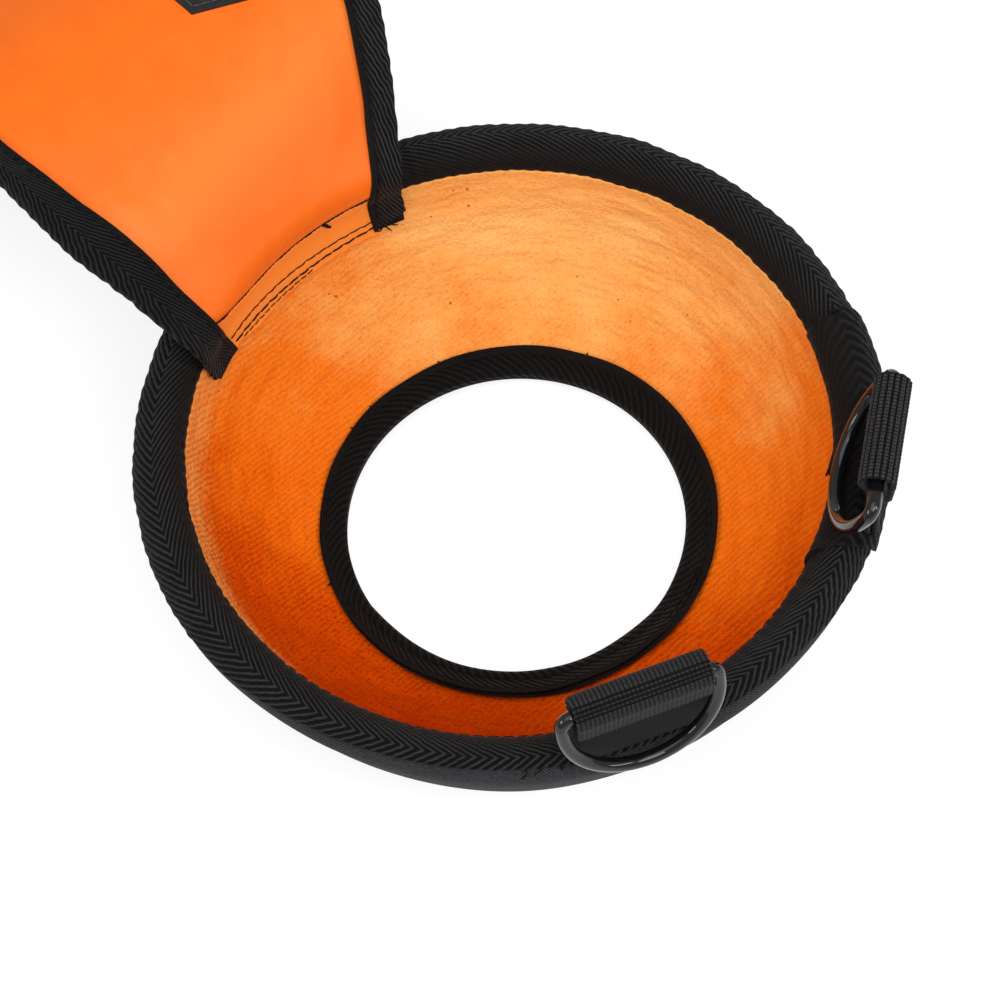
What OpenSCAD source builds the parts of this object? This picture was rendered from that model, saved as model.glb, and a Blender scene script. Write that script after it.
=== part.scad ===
// Plush-lined cup ring with a flared panel and two hinged D-rings.
// Origin: centre of the leg opening on the floor plane, +Z up. Millimetres.

/* [Bowl wall] */
// inner radius of the bound leg opening
hole_r = 36; // [30:0.5:40]
// width of the opening's tape
hole_tape_w = 8; // [6:0.5:10]
// height of the plush where that tape ends
wall_z = 6.53; // [6:0.01:8]
// height of the centre of the plush wall's curve in section
bowl_arc_z = 47.6; // [45:0.2:50]
// plush thickness
lining_t = 1.5; // [1:0.1:1.6]
// outer fabric thickness
shell_t = 0.8; // [0.5:0.1:0.8]
// radius of the rounded shoulder outside
shoulder_r = 34.2; // [32:0.1:36]
// outer radius of the shell at the rim
shell_r = 78.1; // [72:0.1:90]
// how much narrower the shell is at the top of the shoulder
shell_lean = 3.7; // [1.6:0.1:4.2]

/* [Tapes] */
// binding tape thickness
tape_t = 1.0; // [0.6:0.1:1.2]
// height of the rim roll's centre
rim_z = 38.45; // [38:0.05:41]
// width over the rim roll
rim_w = 11.1; // [9:0.1:13]
// height of rim tape below the roll outside
rim_drop = 3.4; // [2:0.1:3.4]
// cover tape thickness
cover_t = 0.8; // [0.5:0.1:1]
// length of the cover tape on the plush
cover_drop = 4.5; // [3:0.5:8]
// first azimuth of the cover tape
cover_a0 = -27; // [-34:1:-24]
// last azimuth of the cover tape
cover_a1 = 16; // [8:1:30]
// thread radius
thread_r = 0.3; // [0.2:0.05:0.4]

/* [D-rings and loops] */
// wire diameter
wire_d = 3.0; // [2.5:0.1:3.5]
// clear width inside a ring beyond the webbing
ring_gap = 1; // [1:0.1:2]
// straight leg between bar and bow
ring_leg = 4; // [2:0.5:6]
// webbing width
web_w = 29; // [25:0.1:33]
// webbing width of the side loop
side_web_w = 25; // [22:0.5:26]
// webbing thickness
web_t = 1.4; // [1:0.1:1.8]
// height of the bars above the rim roll's centre
bar_up = 25.55; // [24.5:0.05:32]
// front loop azimuth
front_az = -74; // [-80:1:-68]
// how far the front bar lies inside the rim's edge
front_bar_in = 3.6; // [3:0.1:4.2]
// front ring lean outwards at rest
front_tilt = 13.8; // [13.8:0.1:22]
// side loop azimuth
side_az = -15; // [-18:1:-12]
// how far the side ring has slid along its bar
side_slide = 1.2; // [0:0.1:2]
// how far the side bar lies inside the rim's edge
side_bar_in = 0.9; // [0.5:0.1:1.3]
// side ring lean inwards at rest
side_tilt = 26.5; // [26.5:0.1:30]

/* [Hem] */
// azimuth of the panel's middle
panel_az = 130; // [125:1:135]
// half angle of the hem on the wall
hem_half = 19; // [16:0.5:20]
// hem thickness
hem_t = 1.2; // [0.8:0.1:1.4]
// lower edge of the hem
hem_z = 30; // [26:0.5:32]
// height of the corded seam above the rim roll's centre
seam_up = 2.15; // [1:0.05:4]
// azimuth width of the left folded tape end
left_tail_a = 11; // [8:0.5:12]
// azimuth width of the right folded tape end
right_tail_a = 6; // [4:0.5:9]

/* [Panel] */
// how far the fold axis lies inside the rim roll
fold_in = 1.8; // [1.2:0.1:2]
// fold axis height above the rim roll's centre
fold_up = 8.05; // [8:0.05:10]
// panel slope at the fold
rise_a = 57; // [50:1:62]
// bend radius of the arched panel
arc_r = 60; // [50:1:80]
// slope of the draped end
drape_a = 68; // [60:1:75]
// cloth sandwich thickness
panel_t = 2.7; // [2.4:0.1:3]
// coated face thickness
face_t = 0.7; // [0.4:0.1:0.9]
// backing thickness
back_t = 0.6; // [0.4:0.1:0.9]
// width of the side tapes
side_tape_w = 10; // [7:0.5:12]
// half width at the fold
root_half = 34; // [30:0.5:35]
// left half width where the flare ends
left_flare = 41.5; // [38:0.5:46]
// right half width where the flare ends
right_flare = 51; // [44:0.5:54]
// half widths at the far end, left and right
left_end = 45; // [40:0.5:50]
right_end = 58; // [50:0.5:62]
// distance from the fold where the flare ends
flare_x = 25; // [20:1:35]
// distance of the patch from the fold, at its inner corner
patch_x = 41.2; // [34:0.1:44]
// distance of that corner from the panel's middle
patch_y = 13.7; // [10:0.1:18]
// length of the patch along the panel
patch_l = 26; // [20:1:34]
// length of the patch across the panel
patch_w = 23; // [16:1:26]
// how far the patch leans back along the panel
patch_lean = 10; // [0:0.5:12]
// how much its long edges turn across the panel
patch_turn = 1; // [0:0.5:3]

/* [Hidden] */
$fn = 96;
black = [0.05, 0.05, 0.06];
orange = [0.93, 0.42, 0.12];
// shoulder curve centre
sh_x = shell_r - shell_lean - shoulder_r;
// rim: outer edge, inner edge, roll radii outside the tape and of the core
rim_out = shell_r + tape_t;
rim_in = rim_out - rim_w;
roll_ro = rim_w / 2;
roll_ri = roll_ro - tape_t;
roll_x = rim_out - roll_ro;
drop_in = shell_lean * rim_drop / (rim_z - shoulder_r);
// a distance past everything on the ring
far = shell_r + 20;
// plush curve through the opening's tape and the rim, its lap under the roll
wall_lap = 0.2;
hole_tape_r = hole_r + hole_tape_w;
wall_x = rim_in - wall_lap;
bowl_arc_x = (pow(wall_x, 2) - pow(hole_tape_r, 2) + pow(bowl_arc_z - rim_z, 2) - pow(bowl_arc_z - wall_z, 2))
    / (2 * (wall_x - hole_tape_r));
bowl_arc_r = sqrt(pow(wall_x - bowl_arc_x, 2) + pow(bowl_arc_z - rim_z, 2));
bar_z = rim_z + bar_up;
front_bar_r = rim_out - front_bar_in;
side_bar_r = rim_out - side_bar_in;
fold_x = rim_in - fold_in;
fold_z = rim_z + fold_up;
seam_z = rim_z + seam_up;
// height of the cloth edge inside the opening's tape
lip_z = 1.1;
lip_x = hole_r + 1.2;
lip_r = 2.2;
// top of the opening's tape where its rounded lip starts
lip_top = bowl_arc_z - sqrt(pow(bowl_arc_r - tape_t, 2) - pow(hole_r + lip_r - bowl_arc_x, 2));
bore_h = lip_top - lip_r;
hem_top = fold_z - 1.1;
tail_top = hem_top - 1;
hem_out = rim_in - 0.4;
hem_r = bowl_arc_r - hem_t;
hem_in = bowl_arc_x + sqrt(pow(hem_r, 2) - pow(bowl_arc_z - rim_z, 2));
// how far the standing webbing lies inside the bar
stem_in = 0.6;
tube_ri = 2.6;
tube_ro = tube_ri + web_t;
tube_up = tube_ri - wire_d / 2 - 0.3;
ring_c = (web_w + ring_gap + wire_d) / 2;
half_t = panel_t / 2;
full_t = half_t + tape_t;
arc_cx = arc_r * sin(rise_a);
arc_cz = -arc_r * cos(rise_a);
drape_len = (fold_z + arc_r * (cos(drape_a) - cos(rise_a)) - cos(drape_a) * full_t) / sin(drape_a);
end_x = 130;
half_y = max(left_end, right_end) + 10;
root_gap = 0.6 / arc_r * 180 / PI;

module bowl_disc(r) {
    translate([bowl_arc_x, bowl_arc_z]) circle(r, $fn = 180);
}

module band(x0, z0, x1, z1) {
    translate([x0, z0]) square([x1 - x0, z1 - z0]);
}

// a ring of section children between two azimuths
module sweep(a0, a1) {
    rotate([0, 0, a0]) rotate_extrude(angle = a1 - a0, $fn = 180) children();
}

// everything inside the shell's outer surface, inset by d
module outer_region(d) {
    intersection() {
        translate([sh_x, shoulder_r]) circle(shoulder_r - d, $fn = 180);
        band(0, -1, far, shoulder_r);
    }
    polygon([[0, shoulder_r], [shell_r - shell_lean - d, shoulder_r], [shell_r - d, rim_z], [0, rim_z]]);
    band(0, d, sh_x, shoulder_r);
}

// the tape's roll over the rim, grown by d
module rim_outline(d) {
    intersection() {
        translate([roll_x, rim_z]) circle(roll_ro + d, $fn = 120);
        band(0, rim_z, far, far);
    }
    polygon([[shell_r, rim_z], [shell_r - drop_in, rim_z - rim_drop], [rim_out + d - drop_in, rim_z - rim_drop],
        [rim_out + d, rim_z]]);
}

module plush_lining() {
    color(orange) rotate_extrude($fn = 180) difference() {
        intersection() {
            bowl_disc(bowl_arc_r + lining_t);
            band(lip_x, 0, shell_r, rim_z);
        }
        bowl_disc(bowl_arc_r);
    }
}

module foam_pad() {
    color([0.8, 0.8, 0.75]) rotate_extrude($fn = 180) union() {
        difference() {
            intersection() {
                outer_region(shell_t);
                band(hole_r + 3, 0, far, rim_z);
            }
            bowl_disc(bowl_arc_r + lining_t);
            band(0, -1, hole_tape_r + shell_t, lip_z + shell_t);
        }
        intersection() {
            translate([roll_x, rim_z]) circle(roll_ri, $fn = 120);
            band(0, rim_z, far, far);
        }
    }
}

module outer_shell() {
    color([0.2, 0.2, 0.21]) rotate_extrude($fn = 180) union() {
        difference() {
            outer_region(0);
            outer_region(shell_t);
            band(0, -1, hole_tape_r, far);
        }
        band(hole_tape_r, 0, hole_tape_r + shell_t, lip_z + shell_t);
        band(lip_x, lip_z, hole_tape_r, lip_z + shell_t);
    }
}

module rim_binding() {
    color(black) rotate_extrude($fn = 180) difference() {
        rim_outline(0);
        translate([roll_x, rim_z]) circle(roll_ri, $fn = 120);
    }
}

module rim_binding_stitching() {
    color(black) sweep(cover_a1 + 0.5, cover_a0 + 359.5)
        translate([roll_x - (roll_ro + thread_r) * cos(20), rim_z + (roll_ro + thread_r) * sin(20)])
            circle(thread_r, $fn = 24);
}

module hole_binding() {
    color(black) rotate_extrude($fn = 180) difference() {
        union() {
            difference() {
                band(hole_r + lip_r, 0, hole_tape_r, rim_z);
                bowl_disc(bowl_arc_r - tape_t);
            }
            band(hole_r, 0, hole_r + lip_r, bore_h);
            intersection() {
                translate([hole_r + lip_r, bore_h]) circle(lip_r, $fn = 48);
                band(0, bore_h, hole_r + lip_r, rim_z);
            }
        }
        difference() {
            band(lip_x, lip_z, far, rim_z);
            bowl_disc(bowl_arc_r);
        }
    }
}

// thread rows near the tape's outer edge
module hole_binding_stitching() {
    color(black) for (r = [hole_tape_r - 1.6, hole_tape_r - 2.8])
        rotate_extrude($fn = 180)
            translate([r, bowl_arc_z - sqrt(pow(bowl_arc_r - tape_t - thread_r, 2) - pow(r - bowl_arc_x, 2))])
                circle(thread_r, $fn = 24);
}

module rim_cover_tape() {
    color(black) sweep(cover_a0, cover_a1) union() {
        difference() {
            rim_outline(cover_t);
            rim_outline(0);
            translate([roll_x, rim_z]) circle(roll_ri, $fn = 120);
        }
        difference() {
            intersection() {
                bowl_disc(bowl_arc_r);
                band(bowl_arc_x, rim_z - cover_drop, far, rim_z);
            }
            bowl_disc(bowl_arc_r - cover_t);
        }
    }
}

// webbing folded round the bar, standing on the rim roll
module ring_loop(bar_r, lift, wide) {
    difference() {
        translate([0, wide / 2, 0]) rotate([90, 0, 0]) linear_extrude(wide) difference() {
            union() {
                translate([bar_r, bar_z + tube_up]) circle(tube_ro, $fn = 64);
                band(bar_r - stem_in - web_t, rim_z, bar_r - stem_in + web_t, bar_z);
            }
            translate([bar_r, bar_z + tube_up]) circle(tube_ri, $fn = 64);
        }
        rotate_extrude($fn = 180) intersection() {
            translate([roll_x, rim_z]) circle(roll_ro + lift, $fn = 120);
            band(0, rim_z - 1, far, far);
        }
    }
}

// two bar tacks across the standing webbing, on both faces
module loop_stitching(bar_r, wide) {
    for (z = [bar_z - 6.5, bar_z - 8.5])
        for (x = [bar_r - stem_in - web_t - 0.35, bar_r - stem_in + web_t])
            translate([x, -wide * 0.42, z]) cube([0.35, wide * 0.84, 0.7]);
}

module front_ring_loop() {
    color(black) rotate([0, 0, front_az]) ring_loop(front_bar_r, 0, web_w);
}

module side_ring_loop() {
    color(black) rotate([0, 0, side_az]) ring_loop(side_bar_r, cover_t, side_web_w);
}

module front_loop_stitching() {
    color(black) rotate([0, 0, front_az]) loop_stitching(front_bar_r, web_w);
}

module side_loop_stitching() {
    color(black) rotate([0, 0, side_az]) loop_stitching(side_bar_r, side_web_w);
}

// D-ring hanging from its bar: bar along Y, bow below
module d_ring() {
    color([0.1, 0.1, 0.11]) union() {
        translate([0, ring_c, 0]) rotate([90, 0, 0]) cylinder(d = wire_d, h = 2 * ring_c, $fn = 48);
        for (s = [-1, 1]) {
            translate([0, s * ring_c, 0]) sphere(d = wire_d, $fn = 48);
            translate([0, s * ring_c, -ring_leg]) cylinder(d = wire_d, h = ring_leg, $fn = 48);
        }
        translate([0, 0, -ring_leg]) rotate([0, 90, 0]) rotate([0, 0, -90])
            rotate_extrude(angle = 180, $fn = 120) translate([ring_c, 0]) circle(d = wire_d, $fn = 48);
    }
}

module front_d_ring() {
    rotate([0, 0, front_az]) translate([front_bar_r, 0, bar_z]) rotate([0, -front_tilt, 0]) d_ring();
}

module side_d_ring() {
    rotate([0, 0, side_az]) translate([side_bar_r, -side_slide, bar_z]) rotate([0, side_tilt, 0]) d_ring();
}

// section of a strip lying on the plush wall and rising inside the rim
module wall_strip(z0, z1) {
    difference() {
        intersection() {
            bowl_disc(bowl_arc_r);
            band(0, z0, far, rim_z);
        }
        bowl_disc(hem_r);
    }
    band(hem_in + 0.1, rim_z - 0.5, hem_out, z1);
}

module panel_hem() {
    color(orange) sweep(panel_az - hem_half, panel_az + hem_half) wall_strip(hem_z, hem_top);
}

module hem_seam_stitching() {
    color(black) sweep(panel_az - hem_half, panel_az + hem_half)
        translate([hem_in - 0.55, seam_z]) circle(0.55, $fn = 24);
}

module hem_edge_stitching() {
    color([0.25, 0.12, 0.08]) for (k = [0:2])
        sweep(panel_az - hem_half, panel_az + hem_half)
            translate([bowl_arc_x + sqrt(pow(hem_r - thread_r, 2) - pow(bowl_arc_z - hem_z - 2 - k, 2)), hem_z + 2 + k])
                circle(thread_r, $fn = 24);
}

module left_binding_tail() {
    color(black) sweep(panel_az + hem_half, panel_az + hem_half + left_tail_a) wall_strip(hem_z + 1, tail_top);
}

module right_binding_tail() {
    color(black) sweep(panel_az - hem_half - right_tail_a, panel_az - hem_half) wall_strip(hem_z + 1, tail_top);
}

// section of the arched sheet between two offsets from its middle surface
module sheet_section(lo, hi, len) {
    translate([arc_cx, arc_cz]) {
        intersection() {
            difference() {
                circle(arc_r + hi, $fn = 180);
                circle(arc_r + lo, $fn = 180);
            }
            polygon([[0, 0], [2 * arc_r * cos(90 - drape_a), 2 * arc_r * sin(90 - drape_a)],
                [2 * arc_r * cos(85), 2 * arc_r * sin(85)],
                [2 * arc_r * cos(90 + rise_a - root_gap), 2 * arc_r * sin(90 + rise_a - root_gap)]]);
        }
        rotate(90 - drape_a) translate([arc_r, 0]) rotate(-90) translate([0, lo]) square([len, hi - lo]);
    }
}

module sheet(lo, hi, len) {
    translate([0, half_y, 0]) rotate([90, 0, 0]) linear_extrude(2 * half_y) sheet_section(lo, hi, len);
}

// plan outline, inset by d at both sides
module outline(d) {
    translate([0, 0, -far]) linear_extrude(2 * far) polygon([[-5, root_half - d], [flare_x, left_flare - d],
        [end_x, left_end - d], [end_x, d - right_end], [flare_x, d - right_flare], [-5, d - root_half]]);
}

// plan strip along one side between two insets; side is 1 left, -1 right
module edge_strip(side, d0, d1) {
    flare = side > 0 ? left_flare : right_flare;
    far = side > 0 ? left_end : right_end;
    translate([0, 0, -far]) linear_extrude(2 * far) polygon([[-5, side * (root_half - d0)], [flare_x, side * (flare - d0)],
        [end_x, side * (far - d0)], [end_x, side * (far - d1)], [flare_x, side * (flare - d1)],
        [-5, side * (root_half - d1)]]);
}

module at_fold() {
    rotate([0, 0, panel_az]) translate([fold_x, 0, fold_z]) children();
}

module layer(lo, hi) {
    intersection() {
        sheet(lo, hi, drape_len - tape_t);
        outline(tape_t);
    }
}

module panel_face() {
    color(orange) at_fold() layer(half_t - face_t, half_t);
}

module panel_padding() {
    color([0.8, 0.8, 0.75]) at_fold() layer(back_t - half_t, half_t - face_t);
}

module panel_backing() {
    color([0.2, 0.2, 0.21]) at_fold() layer(-half_t, back_t - half_t);
}

module side_binding(side) {
    color(black) at_fold() difference() {
        intersection() {
            sheet(-full_t, full_t, drape_len - side_tape_w);
            edge_strip(side, 0, side_tape_w);
        }
        layer(-half_t, half_t);
    }
}

module panel_left_binding() {
    side_binding(1);
}

module panel_right_binding() {
    side_binding(-1);
}

// moves children to the draped end: X along the sheet, Z across it
module at_drape() {
    translate([arc_cx + arc_r * sin(drape_a), 0, arc_cz + arc_r * cos(drape_a)]) rotate([0, drape_a, 0]) children();
}

module panel_end_binding() {
    color(black) at_fold() difference() {
        intersection() {
            at_drape() translate([drape_len - side_tape_w, -half_y, -full_t]) cube([side_tape_w, 2 * half_y, 2 * full_t]);
            outline(0);
        }
        layer(-half_t, half_t);
    }
}

module panel_stitching() {
    color(black) at_fold() union() {
        for (side = [-1, 1])
            intersection() {
                sheet(full_t, full_t + 0.3, drape_len - side_tape_w - 1);
                edge_strip(side, side_tape_w - 1.8, side_tape_w - 1.2);
            }
        intersection() {
            at_drape() translate([drape_len - side_tape_w + 1.2, -half_y, full_t]) cube([0.6, 2 * half_y, 0.3]);
            outline(2);
        }
    }
}

// four-sided bare patch, inset by d
module patch_plan(d) {
    translate([0, 0, -far]) linear_extrude(2 * far) polygon([[patch_x + d * 1.2, -patch_y - d],
        [patch_x + patch_l - d, patch_turn - patch_y - d],
        [patch_x + patch_l - patch_lean - d, d - patch_y - patch_w - 2 * patch_turn],
        [patch_x - patch_lean + d * 1.3, d - patch_y - patch_w + patch_turn]]);
}

module panel_patch() {
    color(black) at_fold() intersection() {
        sheet(half_t, half_t + 0.8, 1);
        patch_plan(0);
    }
}

module patch_stitching() {
    color(black) at_fold() intersection() {
        sheet(half_t + 0.8, half_t + 1.05, 1);
        difference() {
            patch_plan(1.2);
            patch_plan(1.9);
        }
    }
}

plush_lining();
foam_pad();
outer_shell();
rim_binding();
rim_binding_stitching();
hole_binding();
hole_binding_stitching();
rim_cover_tape();
front_ring_loop();
front_loop_stitching();
front_d_ring();
side_ring_loop();
side_loop_stitching();
side_d_ring();
panel_hem();
hem_seam_stitching();
hem_edge_stitching();
left_binding_tail();
right_binding_tail();
panel_face();
panel_padding();
panel_backing();
panel_left_binding();
panel_right_binding();
panel_end_binding();
panel_stitching();
panel_patch();
patch_stitching();
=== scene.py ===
"""Plush-lined cup ring with a flared, tape-bound panel and two D-rings in webbing loops."""

import bpy
import numpy as np
from mathutils import Matrix


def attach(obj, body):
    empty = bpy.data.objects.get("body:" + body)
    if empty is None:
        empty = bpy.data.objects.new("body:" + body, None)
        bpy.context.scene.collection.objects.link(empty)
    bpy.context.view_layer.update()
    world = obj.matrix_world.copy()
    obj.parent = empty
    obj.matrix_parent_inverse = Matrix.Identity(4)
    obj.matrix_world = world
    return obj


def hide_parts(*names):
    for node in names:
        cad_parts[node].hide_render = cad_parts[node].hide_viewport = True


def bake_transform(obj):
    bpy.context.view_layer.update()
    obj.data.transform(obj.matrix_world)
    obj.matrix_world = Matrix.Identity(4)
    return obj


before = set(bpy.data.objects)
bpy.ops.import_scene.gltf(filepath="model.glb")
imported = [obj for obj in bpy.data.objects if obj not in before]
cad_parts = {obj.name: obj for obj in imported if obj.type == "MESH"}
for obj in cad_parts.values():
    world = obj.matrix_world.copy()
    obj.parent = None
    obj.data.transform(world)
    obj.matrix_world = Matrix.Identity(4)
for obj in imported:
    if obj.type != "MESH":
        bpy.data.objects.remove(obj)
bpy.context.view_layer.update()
scene = bpy.context.scene

# ---------------------------------------------------------------- studio
# A white sweep, a key softbox at the front right, a wide one overhead and a weak one on the left.
# The camera looks down into the cup from the front, a little rolled, through a long lens.

right, up = (0.99554931, -0.08283307, -0.04494734), (0.09424214, 0.8750269, 0.47481191)
back, stands = (0, -0.4769346, 0.87893878), (-0.003027, -0.432196, 0.811045)
camera = bpy.data.objects.new("camera", bpy.data.cameras.new("camera"))
scene.collection.objects.link(camera)
camera.matrix_world = Matrix([[right[i], up[i], back[i], stands[i]] for i in range(3)] + [[0, 0, 0, 1]])
camera.data.sensor_width = 36
camera.data.lens = 152.28
camera.data.clip_start = 0.05
camera.data.dof.use_dof = False
scene.camera = camera
scene.view_settings.view_transform = "Standard"


def unit(vectors):
    """The same directions at length 1."""
    return vectors / np.linalg.norm(vectors, axis=-1, keepdims=True)


def softbox(name, place, aim, width, height, power):
    """A rectangular lamp of that size at place, turned to face aim."""
    lamp = bpy.data.objects.new(name, bpy.data.lights.new(name, "AREA"))
    lamp.data.shape, lamp.data.size, lamp.data.size_y, lamp.data.energy = "RECTANGLE", width, height, power
    scene.collection.objects.link(lamp)
    away = unit(np.array(place, float) - np.array(aim, float))
    across = unit(np.cross((0, 1, 0) if abs(away[2]) > 0.9 else (0, 0, 1), away))
    over = np.cross(away, across)
    lamp.matrix_world = Matrix([[across[i], over[i], away[i], place[i]] for i in range(3)] + [[0, 0, 0, 1]])


softbox("key", (0.28, -0.55, 0.85), (0, 0, 0.02), 0.5, 0.4, 3.2)
softbox("overhead", (-0.15, -0.2, 1.05), (0, 0, 0), 1.0, 0.8, 3.6)
softbox("left_strip", (-0.85, -0.3, 0.6), (0, 0, 0.03), 0.5, 0.25, 2.2)
softbox("right_band", (0.66, -0.37, 0.52), (-0.05, 0.1, 0.07), 0.14, 0.5, 1.5)
world = bpy.data.worlds.new("surround")
world.use_nodes = True
sky = world.node_tree.nodes["Background"].inputs
sky["Color"].default_value = (1, 1, 1, 1)
sky["Strength"].default_value = 0.5
scene.world = world


class Reading:
    """A number that changes over a surface: wraps a node's output and takes the ordinary operators."""

    def __init__(self, finish, socket):
        self.finish, self.socket = finish, socket

    def maths(self, operation, *values):
        return self.finish.node("Math", dict(enumerate(values)), operation=operation)

    def __add__(self, other): return self.maths("ADD", self, other)
    def __radd__(self, other): return self.maths("ADD", other, self)
    def __sub__(self, other): return self.maths("SUBTRACT", self, other)
    def __rsub__(self, other): return self.maths("SUBTRACT", other, self)
    def __mul__(self, other): return self.maths("MULTIPLY", self, other)
    def __rmul__(self, other): return self.maths("MULTIPLY", other, self)
    def __truediv__(self, other): return self.maths("DIVIDE", self, other)
    def __pow__(self, other): return self.maths("POWER", self, other)
    def __abs__(self): return self.maths("ABSOLUTE", self)
    def __neg__(self): return self.maths("MULTIPLY", self, -1)
    def wave(self): return self.maths("SINE", self * (2 * np.pi))
    def most(self, other): return self.maths("MAXIMUM", self, other)

    def over(self, low, high):
        """0 below low, 1 above high, smooth between."""
        return self.finish.node("MapRange", {"Value": self, "From Min": low, "From Max": high},
                                interpolation_type="SMOOTHSTEP")


class Finish:
    """A material: one Principled surface, with node() for every other node in it."""

    def __init__(self, name, **fixed):
        self.material = bpy.data.materials.new(name)
        self.material.use_nodes = True
        self.tree = self.material.node_tree
        self.surface = self.tree.nodes["Principled BSDF"]
        for socket, value in fixed.items():
            self.put(self.surface.inputs[socket.replace("_", " ")], value)

    def put(self, socket, value):
        if isinstance(value, Reading):
            self.tree.links.new(value.socket, socket)
        elif hasattr(value, "__len__"):
            socket.default_value = tuple(value) + (1,) * (len(socket.default_value) - len(value))
        else:
            socket.default_value = value

    def node(self, kind, sockets=(), out=0, **settings):
        """A node of that type, its settings made first, then its sockets by name or number; gives its output."""
        made = self.tree.nodes.new("ShaderNode" + kind)
        for key, value in settings.items():
            if key == "stops":
                ramp = made.color_ramp
                while len(ramp.elements) < len(value):
                    ramp.elements.new(0.5)
                for element, (place, color) in zip(ramp.elements, value):
                    element.position, element.color = place, tuple(color) + (1,)
            else:
                setattr(made, key, value)
        for key, value in dict(sockets).items():
            self.put(made.inputs[key], value)
        return Reading(self, made.outputs[out])

    def show(self, socket, value):
        self.put(self.surface.inputs[socket], value)

    def mix(self, first, second, share):
        """The colour that is first where share is 0 and second where it is 1."""
        return self.node("Mix", {0: share, 6: first, 7: second}, out=2, data_type="RGBA", clamp_factor=True)

    def split(self, metres, count):
        """The first count readings of a vector, turned from metres into millimetres, and that vector."""
        vector = self.node("VectorMath", {0: metres, 1: (1000, 1000, 1000)}, operation="MULTIPLY")
        outs = self.node("SeparateXYZ", {0: vector}).socket.node.outputs
        return [Reading(self, outs[i]) for i in range(count)] + [vector]

    def place(self):
        """Object coordinates in millimetres, as (x, y, z) readings and the vector."""
        return self.split(self.node("TexCoord", out="Object"), 3)

    def laid(self):
        """The cloth's own (along, across) in millimetres, from the UV map, and the vector."""
        return self.split(self.node("UVMap", uv_map="cloth"), 2)

    def noise(self, vector, size, detail=2.0, rough=0.5):
        """Cloudy noise about 0 to 1 with features of that size in millimetres."""
        return self.node("TexNoise", {"Vector": vector, "Scale": 1 / size, "Detail": detail, "Roughness": rough})

    def relief(self, height, depth):
        """Raises the surface by height (about 0 to 1) times depth in millimetres."""
        self.show("Normal", self.node("Bump", {"Height": height, "Distance": depth / 1000, "Strength": 1.0}))


def linear(red, green, blue):
    """Linear colour of a shade written as 0 to 255 display values."""
    c = np.array([red, green, blue]) / 255
    return tuple(np.where(c <= 0.04045, c / 12.92, ((c + 0.055) / 1.055) ** 2.4).tolist())


sweep = bpy.data.objects.new("sweep", bpy.data.meshes.new("sweep"))
sweep.data.from_pydata([(x, y, -0.0004) for x, y in ((-3, -3), (3, -3), (3, 3), (-3, 3))], [], [(0, 1, 2, 3)])
scene.collection.objects.link(sweep)
paper = Finish("paper", Base_Color=(0.34, 0.34, 0.34), Roughness=0.9, Specular_IOR_Level=0.0, Emission_Strength=0.77)
rays = paper.node("LightPath").socket.node.outputs
seen, mirrored, through = (Reading(paper, rays["Is %s Ray" % kind]) for kind in ("Camera", "Glossy", "Transmission"))
paper.show("Emission Color", paper.mix((0, 0, 0), (1, 1, 1), seen.most(mirrored).most(through)))
sweep.data.materials.append(paper.material)

# ---------------------------------------------------------------- plush lining
# Short-pile orange velour, knitted in straight rows, lining the inside of the bowl.
# It is bonded to the foam and held by the tape at the rim and round the leg opening.

bowl_x, bowl_z, bowl_r = 22.22, 47.6, 46.49


def grid_piece(name, places, along, across, wrap=(True, True), turned=False, caps=False):
    """A mesh from a grid of places[i, j] in millimetres; along[i] and across[j] (or across[i, j]) are the cloth's
    own lengths, kept as its UV map. wrap says which of the two ways closes on itself, turned swaps the side that
    faces out, and caps closes the two ends."""
    n, m = places.shape[:2]
    i, j = np.meshgrid(np.arange(n if wrap[0] else n - 1), np.arange(m if wrap[1] else m - 1), indexing="ij")
    i, j = i.ravel(), j.ravel()
    i2, j2 = i + 1, j + 1
    corners = np.stack([i % n * m + j % m, i2 % n * m + j % m, i2 % n * m + j2 % m, i % n * m + j2 % m], 1)
    along = np.asarray(along, float)
    across = np.broadcast_to(across, (n, np.shape(across)[-1])).astype(float)
    laid = np.stack([np.stack([along[a], across[a % n, b]], 1) for a, b in ((i, j), (i2, j), (i2, j2), (i, j2))], 1)
    if turned:
        corners, laid = corners[:, ::-1], laid[:, ::-1]
    count, loops = len(corners), corners.size
    starts, totals = np.arange(count) * 4, np.full(count, 4)
    corners, laid = corners.ravel(), laid.reshape(-1, 2)
    if caps:
        ends = [np.arange(m), (n - 1) * m + np.arange(m)[::-1]]
        ends = [e[::-1] for e in ends] if turned else ends
        corners = np.concatenate([corners, *ends])
        laid = np.concatenate([laid, np.zeros((2 * m, 2))])
        starts, totals = np.append(starts, [loops, loops + m]), np.append(totals, [m, m])
    mesh = bpy.data.meshes.new(name)
    mesh.vertices.add(n * m)
    mesh.vertices.foreach_set("co", (places.reshape(-1) / 1000).astype(np.float32))
    mesh.loops.add(len(corners))
    mesh.loops.foreach_set("vertex_index", corners.astype(np.int32))
    mesh.polygons.add(len(starts))
    mesh.polygons.foreach_set("loop_start", starts.astype(np.int32))
    mesh.polygons.foreach_set("loop_total", totals.astype(np.int32))
    mesh.uv_layers.new(name="cloth").data.foreach_set("uv", (laid / 1000).astype(np.float32).ravel())
    mesh.polygons.foreach_set("use_smooth", np.append(np.ones(count, bool), np.zeros(len(starts) - count, bool)))
    mesh.update(calc_edges=True)
    mesh.validate()
    made = bpy.data.objects.new(name, mesh)
    scene.collection.objects.link(made)
    return made


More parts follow.
